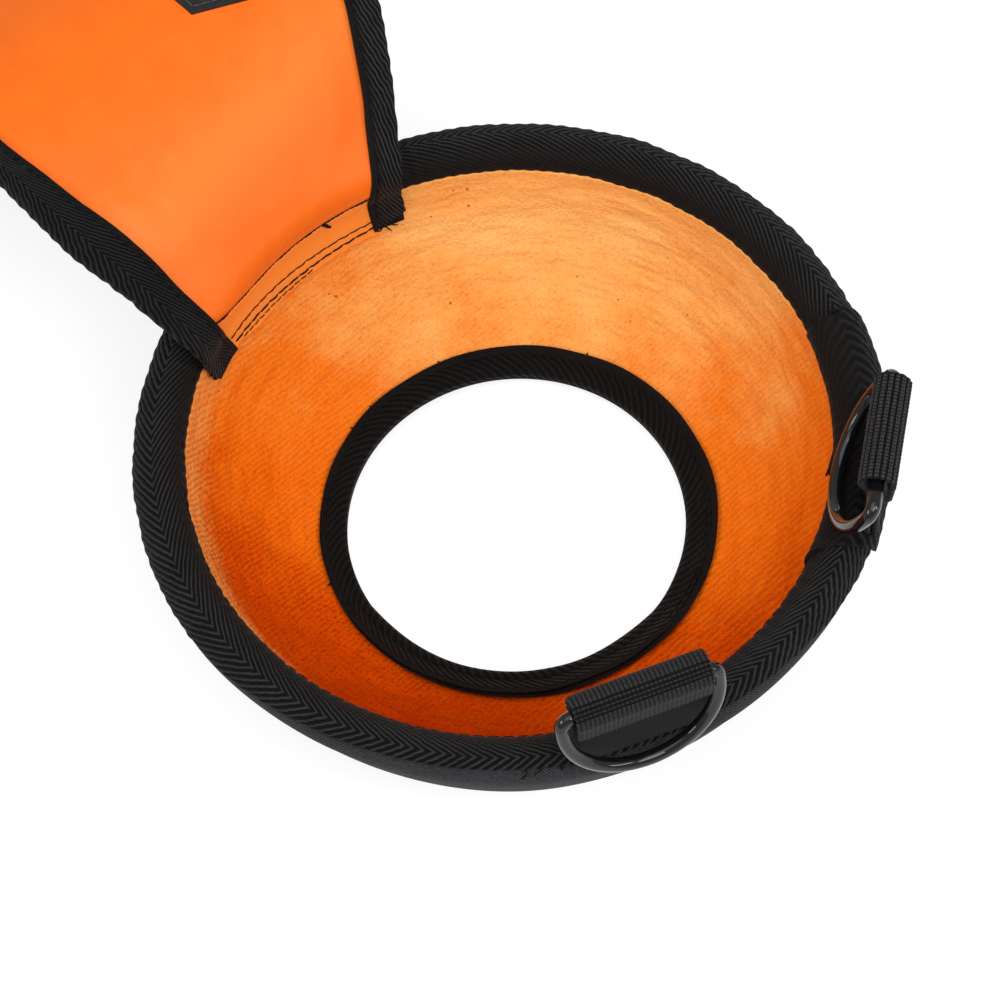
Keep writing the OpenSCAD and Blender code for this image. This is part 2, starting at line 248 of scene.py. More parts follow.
def waves(a, b, seed, count=14, round_a=9, span_b=4.0):
    """Soft unevenness of about -1 to 1: a sum of cosines with whole-number turns in angle a and free pitch in b."""
    rng = np.random.default_rng(seed)
    turns = rng.integers(1, round_a, count)
    pitch = rng.uniform(-span_b, span_b, count)
    phase = rng.uniform(0, 2 * np.pi, count)
    size = rng.uniform(0.4, 1, count)
    total = sum(s * np.cos(t * a + p * b + f) for s, t, p, f in zip(size, turns, pitch, phase))
    return total / np.sqrt((size**2).sum() * 2)


def lathe(radius, height, angle):
    """Places at angle round the ring's axis for each (radius, height)."""
    radius, height, angle = np.broadcast_arrays(radius, height, angle)
    return np.stack([radius * np.cos(angle), radius * np.sin(angle), height], -1)


turn = np.linspace(0, 2 * np.pi, 900, endpoint=False)[:, None]
lean = np.radians(np.linspace(20, 78.6, 110))[None, :]          # from straight down, round the bowl's arc
rear = np.radians(np.linspace(78.6, 20, 12))[None, :]
rear_r = 48
lump = 0.28 * waves(turn, lean * 6, 3, 22, 26, 9) + 0.12 * waves(turn, lean * 20, 5, 24, 60, 9)
lump = lump * np.clip((lean - 0.48) * 10, 0, 1) * np.clip((1.372 - lean) * 12, 0, 1)
front = lathe(bowl_x + (bowl_r + lump) * np.sin(lean), bowl_z - (bowl_r + lump) * np.cos(lean), turn)
behind = lathe(bowl_x + rear_r * np.sin(rear), bowl_z - rear_r * np.cos(rear), turn)
lining = grid_piece("plush_lining_skin", np.concatenate([front, behind], 1), np.linspace(0, 2 * np.pi * 56, 901),
                    np.concatenate([lean[0] * bowl_r, rear[0] * bowl_r + 200, [300]]), turned=True)
plush = Finish("orange_plush", Roughness=0.9, Specular_IOR_Level=0.0, Sheen_Weight=0.07, Sheen_Roughness=0.5,
               Sheen_Tint=linear(255, 150, 60))
x, y, z, spot = plush.place()
drift = plush.noise(spot, 9.0, 2.0)
row = (y * 0.80 - x * 0.60 + z * 0.40 + drift * 2.0) / 1.15
cloud = plush.noise(spot, 17.0, 3.0, 0.55)
brushed = plush.noise(spot, 5.0, 5.0, 0.65)
fleck = plush.noise(spot, 1.4, 4.0, 0.7)
pile = plush.noise(spot, 0.6, 2.0, 0.6)
rows = row.wave() * 0.5 + 0.5
# painted light and shade: the plush is painted dark and deep on the near wall, which lies in shade, and pale on the far
# wall, which faces the light, with cloudy variation
shade_to_light = (y + x * 0.24 + cloud * 58 + brushed * 30 + 28) / 144
tone = plush.node("ValToRGB", {"Fac": shade_to_light}, stops=[
    (0.04, linear(194, 56, 0)), (0.28, linear(224, 82, 4)), (0.48, linear(247, 116, 18)),
    (0.66, linear(250, 130, 34)), (0.84, linear(253, 170, 86)), (1.0, linear(254, 190, 110))])
# painted highlight: the plush is painted paler towards the rim, most on the far left, where the light falls on it
painted_rim_light = (z - 28.5 + brushed * 11 - fleck * 5).over(0.0, 10.0) * (y * 0.5 - x * 0.7 + 10).over(-20, 30)
tone = plush.mix(tone, linear(250, 168, 86), painted_rim_light * 0.75)
# the knit's streaks are weakest where the painted light is palest and where the painted shade is deepest
streaks_by_light = (1 - shade_to_light.over(0.55, 0.95) * 0.75) * (shade_to_light.over(0.12, 0.36) * 0.7 + 0.3)
streaked = rows * (brushed * 1.5 - 0.2) * streaks_by_light
knit = (streaked * 0.7 + pile * 1.3 + fleck - 1.12).over(0.0, 0.5)
# the knit's sunken spots are painted darker, partly the pile's own mottle and partly painted shade in it, darkest on
# the shaded near wall
sunken_shade = plush.mix(linear(132, 26, 0), linear(216, 84, 8), shade_to_light.over(0.2, 0.6))
tone = plush.mix(tone, sunken_shade, knit * (0.66 - shade_to_light * 0.42))
# painted highlight: raised flecks of pile are painted paler, only on the lit far side
raised_highlight = (fleck * 1.2 + brushed * 0.6 - 0.98).over(0.0, 0.4)
tone = plush.mix(tone, linear(255, 192, 114), raised_highlight * shade_to_light.over(0.25, 0.8) * 0.4)
dust = plush.noise(spot, 1.5, 0.0).over(0.86, 0.875)
tone = plush.mix(tone, linear(140, 52, 10), dust * 0.7)
plush.show("Base Color", tone)
plush.relief(streaked * 0.35 + fleck * 0.9 + pile * 0.8, 0.42)
lining.data.materials.append(plush.material)
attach(lining, "ring")
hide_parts("plush_lining", "foam_pad")

# ---------------------------------------------------------------- outer shell
# Dark grey plain-weave cloth round the outside of the cup and under it.
# It is pulled over the rounded shoulder and tucked under the rim tape.

roll_x, roll_z, roll_r = 73.55, 38.45, 5.55
shoulder_x, shoulder_r = 40.2, 34.2
shoulder = np.radians(np.linspace(-82.6, 0, 44))
tuck = np.radians(np.linspace(0, 118, 36))
outside_r = np.concatenate([[39.6, 41.0, 42.4, 43.7, 44.1], shoulder_x + shoulder_r * np.cos(shoulder), [76.3],
                            roll_x + 4.75 * np.cos(tuck)])
outside_z = np.concatenate([[1.75, 1.55, 1.4, 1.2, 0.35], shoulder_r + shoulder_r * np.sin(shoulder), [36.35],
                            roll_z + 4.75 * np.sin(tuck)])
inside_r = np.concatenate([roll_x + 3.9 * np.cos(tuck[::-3]),
                           shoulder_x + (shoulder_r - 0.8) * np.cos(shoulder[::-2]), [44.4, 39.6]])
inside_z = np.concatenate([roll_z + 3.9 * np.sin(tuck[::-3]),
                           shoulder_r + (shoulder_r - 0.8) * np.sin(shoulder[::-2]), [1.95, 2.5]])


def travelled(points):
    """The distance along a line of points, from 0 at its first."""
    return np.concatenate([[0], np.linalg.norm(np.diff(points, axis=0), axis=1).cumsum()])


turn = np.linspace(0, 2 * np.pi, 540, endpoint=False)[:, None]
belly = np.clip((outside_z - 3) / 18, 0, 1)[None, :]
swell = belly * 0.30 * waves(turn, outside_z[None, :] / 8, 11, 16, 14, 2)
skin = lathe(outside_r[None, :] + swell, outside_z[None, :], turn)
core = lathe(inside_r[None, :], inside_z[None, :], turn)
lengths = np.concatenate([travelled(np.stack([outside_r, outside_z], 1)), np.linspace(200, 300, len(inside_r)), [301]])
shell = grid_piece("outer_shell_skin", np.concatenate([skin, core], 1), np.linspace(0, 2 * np.pi * 70, 541), lengths)
cloth = Finish("grey_cloth", Roughness=0.82, Specular_IOR_Level=0.22, Sheen_Weight=0.10, Sheen_Roughness=0.5)
along, across, flat = cloth.laid()
weave = (along / 0.74).wave() * (across / 0.74).wave()
grain = cloth.noise(flat, 0.7, 3.0, 0.65)
blotch = cloth.noise(flat, 6.0, 3.0, 0.6)
lit = (weave * 0.34 + grain * 1.1 + blotch * 0.3 - 0.28).over(0.0, 1.0)
cloth.show("Base Color", cloth.mix(linear(14, 14, 16), linear(66, 66, 71), lit))
cloth.relief(weave * 0.5 + grain, 0.14)
shell.data.materials.append(cloth.material)
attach(shell, "ring")
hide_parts("outer_shell")

# ---------------------------------------------------------------- rim tape
# Black herringbone binding tape, 21 mm from edge to edge, folded over the cut edge of the wall and sewn through.
# On the near side it is pulled further in, so that the grey cloth shows below it.


def herringbone(name, axis, pitch, slopes, rib_highlight, plain, middle=None):
    """Finish for twill tape: ribs run slantwise and turn back at the line across = axis, each rib lying where
    (along + slope * |across - axis|) / pitch is whole, with one slope on either side. The shade given after slopes is
    the ribs' lightest: a painted highlight on the ribs, with painted shade in the grooves between them. Between the
    two lengths in plain the ribs come up out of a plain dark lane. middle is where its middle lies along the piece,
    for a tape laid across the piece."""
    tape = Finish(name, Roughness=0.8, Specular_IOR_Level=0.12, Sheen_Weight=0.04, Sheen_Roughness=0.4)
    along, across, flat = tape.laid()
    if middle:
        along, across = across, along - middle
    beyond = across - (axis(along) if callable(axis) else axis)
    slant = beyond.most(0) * slopes[1] + (-beyond).most(0) * slopes[0]
    rib = ((along + slant + tape.noise(flat, 4.0) * 0.9) / pitch).wave() * 0.5 + 0.5
    bead = ((across + along * 0.3 + rib * 0.2) / 0.62).wave() * 0.5 + 0.5
    fuzz = tape.noise(flat, 0.38, 2.0, 0.6)
    uneven_rib_light = tape.noise(flat, 5.0, 2.0)
    # painted light: the ribs are painted light as a painted highlight and the grooves dark as painted shade, unevenly
    # along the tape
    lit = (rib ** 1.9 * (bead * 0.55 + 0.6) * (uneven_rib_light * 1.1 + 0.45) + fuzz * 0.4 - 0.18).over(0.0, 1.0)
    shown = across.over(*plain)
    ribs = tape.mix(linear(5, 5, 5), linear(rib_highlight, rib_highlight, rib_highlight - 1), lit)
    tape.show("Base Color", tape.mix(linear(19, 14, 13), ribs, shown * 0.85 + 0.15))
    tape.relief((rib + bead * 0.25) * (shown * 0.8 + 0.2) + fuzz * 0.25, 0.34)
    return tape


rim_tape = herringbone("rim_herringbone", 9.8, 2.1, (2.1, 1.4), 50, (3.2, 8.6))
slope_in, slope_down = 0.657, 0.754                             # the wall's outside, below the roll
turn = np.linspace(0, 2 * np.pi, 1080, endpoint=False)[:, None]
away = np.mod(turn + np.pi / 2 + np.pi, 2 * np.pi) - np.pi      # angle from the near side
reach = 1 - np.exp(-(np.abs(away) / 0.95) ** 4)                 # how far the tape comes down outside
wobble = 0.30 * waves(turn, 0, 21, 12, 40, 0)
flat_edge = np.linspace(0, 1, 40)[None, :]
lower = 52 * (1 - reach)                                        # last angle on the roll, in degrees
drop = 3.3 * reach + 0.25 * waves(turn, 0, 22, 10, 30, 0) * reach
total = roll_r * np.radians(180 - lower) + drop
s = flat_edge * total
bend = np.minimum(s, roll_r * np.radians(180 - lower)) / roll_r
down = s - bend * roll_r
angle = np.pi - bend
pucker = 0.10 * waves(turn, 0, 23, 14, 130, 0) + 0.09 * np.cos(turn * 155)


def tape_layer(out):
    """The tape's section round the roll at distance out from its middle, then down the leaning wall outside."""
    r = roll_x + (roll_r + out + pucker) * np.cos(angle) + wobble * np.cos(angle) * 0.5 - down * slope_in
    z = roll_z + (roll_r + out + pucker + 0.5 * wobble) * np.sin(angle) - down * slope_down
    return lathe(r, z, turn)


def tape_ring(name, outer, inner, along, across, finish, closed):
    """A tape with rounded edges from its outer layer and inner layer, laid edge to edge."""
    middle = (outer + inner) / 2
    around = np.concatenate([middle[:, :1], outer, middle[:, -1:], inner[:, ::-1]], 1)
    across = np.atleast_2d(across)
    across = np.concatenate([across[:, :1] - 0.5, across, across[:, -1:] + 0.5,
                             across[:, ::-1] + 60, across[:, :1] + 60.5], 1)
    made = grid_piece(name, around, along, across, wrap=(closed, True), caps=not closed)
    made.data.materials.append(finish.material)
    return made


rim = tape_ring("rim_tape", tape_layer(0.0), tape_layer(-0.75), np.linspace(0, 2 * np.pi * 74, 1081), s, rim_tape, True)
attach(rim, "ring")
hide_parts("rim_binding")

def spun(name, shade, rough, shine):
    """Finish for sewing thread, a little uneven."""
    made = Finish(name, Base_Color=shade, Roughness=rough, Specular_IOR_Level=shine)
    made.relief(made.noise(made.place()[3], 0.25, 1.0), 0.06)
    return made


black_thread = spun("black_thread", linear(9, 8, 8), 0.6, 0.15)


def wound(path, side, over, radius, sides):
    """A ring of that many points about each point of path, in the plane of the directions side and over."""
    a = np.linspace(0, 2 * np.pi, sides, endpoint=False)[None, :, None]
    radius = np.broadcast_to(radius, (len(path),))[:, None, None]
    return path[:, None] + radius * (np.cos(a) * side[:, None] + np.sin(a) * over[:, None])


def thread(name, path, radius, body="ring", finish=black_thread, replaced=()):
    """A thin thread along path, in 6 sides; body is its CAD body, or None where it crosses the fold."""
    ahead = unit(np.gradient(path, axis=0))
    side = unit(np.cross(ahead, (0.11, 0.07, 0.99)))
    rings = wound(path, side, np.cross(ahead, side), radius, 6)
    made = grid_piece(name, rings, travelled(path), np.arange(7.0), wrap=(False, True), turned=True, caps=True)
    made.data.materials.append(finish.material)
    if body:
        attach(made, body)
    else:
        on_fold(made)
    if replaced:
        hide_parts(*replaced)
    return made


def stitched(run, length, high, low):
    """Height of a sewn row: high over each stitch, then a short dip to low where the thread goes down."""
    return high - (high - low) * np.abs(np.cos(np.pi * run / length)) ** 8


# its sewing thread, a row of 3 mm stitches on the inner side, sunk in the tape
sewn = np.radians(np.arange(18, 332, 0.22))
depth = roll_r + stitched(sewn * 68.4, 3.0, 0.03, -0.3)
thread("rim_stitches", lathe(roll_x - depth * np.cos(np.radians(20)), roll_z + depth * np.sin(np.radians(20)), sewn),
       0.14, replaced=["rim_binding_stitching"])

# three loose ends hang from the tape's lower edge on the near side
for number, (azimuth, length) in enumerate(((-92.6, 2.6), (-90.4, 1.9), (-86.5, 1.2))):
    fall = np.linspace(0, 1, 14)
    a = np.radians(azimuth + 0.5 * np.sin(fall * 4 + number))
    lean_out = np.radians(54 - fall * length * 10.5)
    thread("rim_thread_end_%d" % number,
           lathe(roll_x + 5.2 * np.cos(lean_out), roll_z + 5.2 * np.sin(lean_out), a), 0.22 - 0.08 * fall)

# ---------------------------------------------------------------- leg opening tape
# The same tape folded round the leg opening; its end overlaps its start at the near left,
# which shows as a second edge along the near side.

# painted shade: at the bottom of the cup its ribs are painted much darker than the rim tape's
hole_tape = herringbone("hole_herringbone_shaded", -1.0, 2.1, (1.1, 1.1), 23, (1.9, 2.5))
turn = np.linspace(0, 2 * np.pi, 720, endpoint=False)[:, None]
wobble = 0.35 * waves(turn, 0, 31, 12, 16, 0)
start = 43.1 - 0.9 * np.cos(turn - 2.3) + 0.6 * wobble
slope_s = np.linspace(0, 1, 16)[None, :]
lip = np.radians(np.linspace(100, 180, 12))[None, :]
r_top = start + (39.0 - start) * slope_s
z_top = bowl_z - np.sqrt(45.55**2 - (r_top - bowl_x) ** 2) + 0.25 * waves(turn, slope_s * 2, 32, 10, 20, 2)
r_lip = 38.9 + 2.2 * np.cos(lip) + 0.05 * wobble
z_lip = z_top[:, -1:] - 1.5 + 1.5 * np.sin(lip)
r_wall = np.full((1, 4), 36.7) + 0.05 * wobble
z_wall = z_lip[:, -1:] + (2.3 - z_lip[:, -1:]) * np.linspace(0, 1, 4)[None, :]
# out under the cup, then back inside the wall
r_under = np.array([37.0, 37.6, 38.6, 40.0, 41.5, 42.8, 43.5, 43.3, 39.4, 38.6, 39.4, 42.0])[None, :] + 0 * turn
z_under = np.array([1.75, 1.5, 1.3, 0.95, 0.6, 0.25, 0.05, 1.0, 1.7, 3.0, 4.2, 5.2])[None, :] + 0 * turn
ring_r = np.concatenate([r_top, r_lip[:, 1:], r_wall[:, 1:], r_under], 1)
ring_z = np.concatenate([z_top, z_lip[:, 1:], z_wall[:, 1:], z_under], 1)
path = travelled(np.stack([ring_r[0], ring_z[0]], 1))
hole = grid_piece("hole_tape", lathe(ring_r, ring_z, turn), np.linspace(0, 2 * np.pi * 40, 721),
                  np.append(path, path[-1] + 1))
hole.data.materials.append(hole_tape.material)
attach(hole, "ring")
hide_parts("hole_binding")


def on_bowl(r, lift):
    """Height of a place at r on the plush, lift above it."""
    return bowl_z - np.sqrt((bowl_r - lift) ** 2 - (r - bowl_x) ** 2)


# two sewn rows near the tape's outer edge, and the frayed tips of that edge
a = np.linspace(0, 2 * np.pi, 900)
for row, r, replaced in (("outer", 41.9, ["hole_binding_stitching"]), ("inner", 40.9, [])):
    height = on_bowl(r, 1.0) + stitched(a * r, 2.9, 0.08, -0.35)
    thread("hole_stitches_" + row, lathe(r, height, a), 0.17, replaced=replaced)
for number, azimuth in enumerate((133.0, 142.0, 108.0, 196.0, 63.0)):
    out = np.linspace(0, 1, 8)
    r = 42.5 - 0.9 * np.cos(np.radians(azimuth) - 2.3) + 1.2 * out
    thread("hole_tape_tip_%d" % number,
           lathe(r, on_bowl(r, 0.75 - 0.35 * out), np.radians(azimuth + 0.8 * out)), 0.30 - 0.16 * out)

# the overlapping end, one tape thickness proud, from the near left round to the near right
turn = np.radians(np.linspace(-157, -38, 300))[:, None]
lap = np.linspace(0, 1, 20)[None, :]
sinks = np.clip(1 - (turn - turn[0]) / 0.35, 0, 1) ** 2 + np.clip((turn - turn[-1]) / 0.35 + 1, 0, 1) ** 2
rise = 0.55 - 1.3 * sinks
lip_r = 39.2
r_a = 42.7 + (lip_r - 42.7) * lap + 0.2 * waves(turn, lap, 33, 8, 20, 1)
z_a = bowl_z - np.sqrt(45.5**2 - (r_a - bowl_x) ** 2) + 0.25 + rise
curl = np.radians(np.linspace(100, 170, 10))[None, :]
r_b, z_b = lip_r + 2.9 * np.cos(curl) + 0.6 * sinks, z_a[:, -1:] - 1.9 + 1.95 * np.sin(curl)
outer = lathe(np.concatenate([r_a, r_b], 1), np.concatenate([z_a, z_b], 1), turn)
inner = lathe(np.concatenate([r_a, r_b + 0.5], 1), np.concatenate([z_a - 0.55, z_b - 0.4], 1), turn)
overlap = tape_ring("hole_tape_overlap", outer, inner, np.linspace(0, 83, 300), np.linspace(0, 9, 30), hole_tape, False)
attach(overlap, "ring")

# ---------------------------------------------------------------- cover tape
# A short length of the same tape laid over the rim where its ends meet, under the side ring.
# Its ends are cut, the lower one on the slant, and left to fray.

turn = np.linspace(0, 1, 200)[:, None]
lap = np.linspace(0, 1, 44)[None, :]
slant = np.radians(-31.4 + 8.2 * lap) + 0.006 * waves(turn * 6, lap * 9, 61, 10, 9, 9)
azimuth = slant + (np.radians(16.4) + 0.010 * np.cos(lap * 21) - slant) * turn
half_turn = roll_r * np.pi
run = lap * (half_turn + 4.0) - 0.8
bend = np.minimum(run, half_turn) / roll_r
down = np.clip(run - half_turn, 0, None)
lump = 0.16 * waves(azimuth * 3, lap * 5, 62, 16, 14, 3) + 0.06 * np.cos(azimuth * 155)
lump += 0.25 * np.exp(-((azimuth - azimuth[:1]) * 74 / 1.4) ** 2)


def cover_layer(out):
    """The same roll as the rim tape's, out further off, its inner edge 0.8 mm down on the plush."""
    reach_out = roll_r + (out + lump) * (0.3 + 0.7 * np.clip(lap / 0.16, 0, 1))
    return lathe(roll_x - reach_out * np.cos(bend) - down * slope_in,
                 roll_z + reach_out * np.sin(bend) - down * slope_down, azimuth)


cover_tape = herringbone("cover_herringbone", 9.8, 3.0, (1.6, 1.5), 40, (7.0, 14.0))
cover = tape_ring("cover_tape", cover_layer(0.85), cover_layer(0.05), np.linspace(0, 62, 200), lap[0] * 21,
                  cover_tape, False)
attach(cover, "ring")
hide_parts("rim_cover_tape")

# frayed ends, and a doubled notch of thread at its inner edge
rng = np.random.default_rng(63)
grow = np.linspace(0, 1, 9)
for number in range(20):
    place = rng.uniform(0.10, 0.92)
    upper = number < 9
    stray, size = rng.uniform(-1, 1, 2), rng.uniform(0.7, 1.9)
    at = place * np.pi + stray[0] * 0.12 * grow
    a = (np.radians(16.0) if upper else np.radians(-31.0 + 8.2 * place)) + (1 if upper else -1) * grow * size / 74
    high = roll_r + 0.75 + (0.3 + 0.5 * stray[1]) * grow ** 2
    thread("cover_fray_%d" % number, lathe(roll_x - high * np.cos(at), roll_z + high * np.sin(at), a), 0.2 - 0.1 * grow)
for number, (azimuth_n, size) in enumerate(((-9.6, 1.5), (-8.6, 0.9), (-10.6, 0.8))):
    r_n = roll_x - roll_r - 0.2 - size * grow
    thread("cover_notch_%d" % number,
           lathe(r_n, on_bowl(r_n, 0.3) + 0.2, np.radians(azimuth_n - 0.9 * grow)), 0.42 - 0.2 * grow)

# ---------------------------------------------------------------- D-rings
# Welded rings of 3 mm steel wire, bent to a D and dipped in gloss black.
# Each hangs by its straight bar in a webbing loop and swings freely.

bars, bar_z = {"front": (-74, 75.5), "side": (-15, 78.2)}, 64   # azimuth and distance of each bar, and its height
wire_r, corner_r, half_bar, bow_r, leg = 1.5, 2.4, 14.1, 16.5, 4
gloss = Finish("gloss_black", Base_Color=(0.006, 0.006, 0.007), Roughness=0.08, Specular_IOR_Level=0.34,
               Coat_Weight=0.25, Coat_Roughness=0.03)
x, y, z, spot = gloss.place()
gloss.relief(gloss.noise(spot, 2.6, 2.0), 0.03)


def tube(name, path, radius, sides, finish):
    """A round wire along a closed path: each ring of points lies square to the path, carried on without twist."""
    ahead = unit(np.roll(path, -1, 0) - np.roll(path, 1, 0))
    side = [unit(np.cross(ahead[0], (0, 0, 1)))]
    for t in ahead[1:]:
        side.append(unit(side[-1] - t * (side[-1] @ t)))
    rings = wound(path, np.array(side), np.cross(ahead, side), radius, sides)
    run = travelled(path)
    made = grid_piece(name, rings, np.append(run, run[-1] + 1), np.linspace(0, 2 * np.pi, sides + 1), turned=True)
    made.data.materials.append(finish.material)
    return made


def stand(points, azimuth, bar_r=0.0, bar_z=0.0, tilt=0.0):
    """Local (out, along the rim, up) points turned by tilt about the bar, then set at its distance and azimuth."""
    t, a = np.radians(tilt), np.radians(azimuth)
    out = points[..., 0] * np.cos(t) - points[..., 2] * np.sin(t) + bar_r
    high = points[..., 0] * np.sin(t) + points[..., 2] * np.cos(t) + bar_z
    side = points[..., 1]
    return np.stack([out * np.cos(a) - side * np.sin(a), out * np.sin(a) + side * np.cos(a), high], -1)


def d_path():
    """Bar, two rounded corners, short legs and a half-circle bow, as (0, along, up) points of a closed line."""
    bow = np.linspace(0, np.pi, 90)
    bend = np.linspace(0, np.pi / 2, 14)
    parts = [np.stack([np.linspace(-half_bar, half_bar, 40), np.zeros(40)], 1),
             np.stack([half_bar + corner_r * np.sin(bend[1:]), -corner_r + corner_r * np.cos(bend[1:])], 1),
             np.stack([bow_r * np.cos(bow), -leg - bow_r * np.sin(bow)], 1),
             np.stack([-half_bar - corner_r * np.cos(bend[:-1]), -corner_r + corner_r * np.sin(bend[:-1])], 1)]
    flat = np.concatenate(parts)
    return np.stack([np.zeros(len(flat)), flat[:, 0], flat[:, 1]], 1)


for name, tilt, slid in (("front", 13.8, -0.4), ("side", -26.5, -1.8)):
    ring = tube(name + "_d_ring_wire", stand(d_path() + (0, slid, 0), *bars[name], bar_z, tilt), wire_r, 32, gloss)
    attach(ring, name + "_d_ring_body")
    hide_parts(name + "_d_ring")

# ---------------------------------------------------------------- webbing loops
# Ribbed nylon webbing, 29 mm wide in front and 25 mm at the side, folded round the ring's bar. Both layers
# stand on the rim, sewn together under the bar, and the outer one ends there in a cut edge turned up.


def ribbed(name, rib_highlight, cross_pitch, cross_share, sunk=()):
    """Finish for webbing: fine ridges square to its length, painted light as a painted highlight, and dark grooves
    along it at the distances in sunk, painted dark as painted shade in them.
    """
    webbing = Finish(name, Roughness=0.75, Specular_IOR_Level=0.14, Sheen_Weight=0.04, Sheen_Roughness=0.4)
    along, across, flat = webbing.laid()
    ridge = ((across + webbing.noise(flat, 4.0) * 0.3) / cross_pitch).wave() * 0.5 + 0.5
    weft = (along / 0.46).wave() * 0.5 + 0.5
    fuzz = webbing.noise(flat, 0.4, 2.0, 0.65)
    lit = (ridge * cross_share + weft * 0.18 + fuzz * 0.8 - 0.30).over(0.0, 1.0)
    # painted shade: darkens the colour in each groove
    for place in sunk:
        lit = lit * (abs(along - place) + fuzz * 0.12).over(0.16, 0.40)
    webbing.show("Base Color", webbing.mix(linear(5, 5, 6), linear(rib_highlight, rib_highlight, rib_highlight + 1), lit))
    webbing.relief(ridge * 0.6 * cross_share + weft * 0.25 + fuzz * 0.4, 0.16)
    return webbing


def even(points, step):
    """The same line with points every step millimetres, its corners softened by a short running mean."""
    lengths = travelled(points)
    at = np.arange(0, lengths[-1], step)
    line = np.stack([np.interp(at, lengths, points[:, k]) for k in (0, 1)], 1)
    width = max(3, int(0.8 / step))
    padded = np.concatenate([np.repeat(line[:1], width, 0), line, np.repeat(line[-1:], width, 0)])
    kernel = np.ones(width) / width
    return np.stack([np.convolve(padded[:, k], kernel, "same")[width:-width] for k in (0, 1)], 1)


def webbing_strip(name, line, half, azimuth, look, eye=(0.0, 0.0), sunk=()):
    """A strip 2 * half wide whose middle follows line in (out, up), 1.35 mm thick with rounded selvedges,
    its outer face grooved at the angles sunk round eye."""
    step = 0.13
    line = even(line, step)
    ahead = unit(np.gradient(line, axis=0))
    outward = np.stack([ahead[:, 1], -ahead[:, 0]], 1)
    run = np.arange(len(line)) * step
    at = np.degrees(np.arctan2(line[:, 1] - eye[1], line[:, 0] - eye[0]))
    near = np.abs(np.hypot(*(line - eye).T) - eye_r) < 0.5
    places_sunk = [run[near][np.argmin(np.abs(at[near] - g))] for g in sunk]
    grooves = 0.40 * sum((np.exp(-((run - g) / 0.24) ** 2) for g in places_sunk), 0 * run)
    wide = np.linspace(-half, half, int(half * 4) + 1)
    ribs = -grooves[:, None] + 0.04 * np.cos(2 * np.pi * wide / 1.0)[None, :]
    edge = np.clip((half - np.abs(wide)) / 0.7, 0, 1)[None, :]
    thick = 0.68 * np.sqrt(1 - (1 - edge) ** 2)
    face = line[:, None] + outward[:, None] * (thick + ribs * edge)[..., None]
    rear = line[:, None] - outward[:, None] * (thick - 0.1 * edge)[..., None]
    wide_all = np.concatenate([wide, wide[::-1][1:-1]])
    sway = (0.10 * np.cos(2 * np.pi * run / 1.5))[:, None] * np.sign(wide_all) * (np.abs(wide_all) > half - 0.4)
    both = np.concatenate([face, rear[:, ::-1][:, 1:-1]], 1)
    places = np.stack([both[..., 0], wide_all + sway, both[..., 1]], -1)
    made = grid_piece(name, stand(places, azimuth), run, np.append(wide_all + 20, 5), wrap=(False, True), turned=True,
                      caps=True)
    made.data.materials.append(ribbed(name, *look, places_sunk).material)
    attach(made, "ring")
    return made


eye_z, eye_r = 64.8, 3.3
for name, lift, half, sunk, look in (("front", 0.0, 14.5, (40, 53, 67, 81), (58, 0.95, 0.42)),
                                     ("side", 0.8, 12.5, (-2, 20, 42, 63, 84, 105, 127, 149), (78, 0.80, 0.35))):
    azimuth, bar_r = bars[name]
    over = roll_r + lift + 0.7
    foot = [roll_z + np.sqrt(over**2 - (x - roll_x) ** 2) - 1.0 for x in (bar_r + 0.1, bar_r - 1.3)]
    eye = np.radians(np.linspace(-24, 246, 90))
    line = np.concatenate([
        np.stack([bar_r + np.linspace(2.55, 3.0, 20), np.linspace(59.0, 63.0, 20)], 1),
        np.stack([bar_r + eye_r * np.cos(eye), eye_z + eye_r * np.sin(eye)], 1),
        np.stack([np.full(20, bar_r - 1.3), np.linspace(60.2, foot[1], 20)], 1)])
    loop = webbing_strip(name + "_loop_webbing", line, half, azimuth, look, (bar_r, eye_z), sunk)
    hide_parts(name + "_ring_loop")

    # the outer layer's standing part, under that cut end, made of a darker copy of the webbing: painted shade under the
    # loop
    line = np.array([[bar_r + 0.1, foot[0]], [bar_r + 0.1, 61.2]])
    webbing_strip(name + "_loop_stand_shaded", line, half - 0.1, azimuth, (24, 0.95, 0.3))

    # two bar tacks of zigzag thread on either face
    zig = np.linspace(-half * 0.84, half * 0.84, int(half * 1.68 / 0.28))
    zag = np.where(np.arange(len(zig)) % 2, 0.45, -0.45)
    for row, (out, z) in enumerate(((0.9, 57.6), (0.9, 55.6), (-2.1, 57.6), (-2.1, 55.6))):
        tack = np.stack([bar_r + out + 0 * zig, zig, z + zag], 1)
        thread("%s_bar_tack_%d" % (name, row), stand(tack, azimuth), 0.17,
               replaced=[] if row else [name + "_loop_stitching"])

# ---------------------------------------------------------------- panel cloth
# Coated orange nylon over padding. Its plain hem lies on the plush and is sewn through the cup's wall;
# above a corded seam the padded part rises, arches over and drapes to the floor.

panel_azimuth = 130
fold_r, fold_high = 66.2, 46.5
arch_r, rises, drapes = 60, np.radians(57), np.radians(-68)


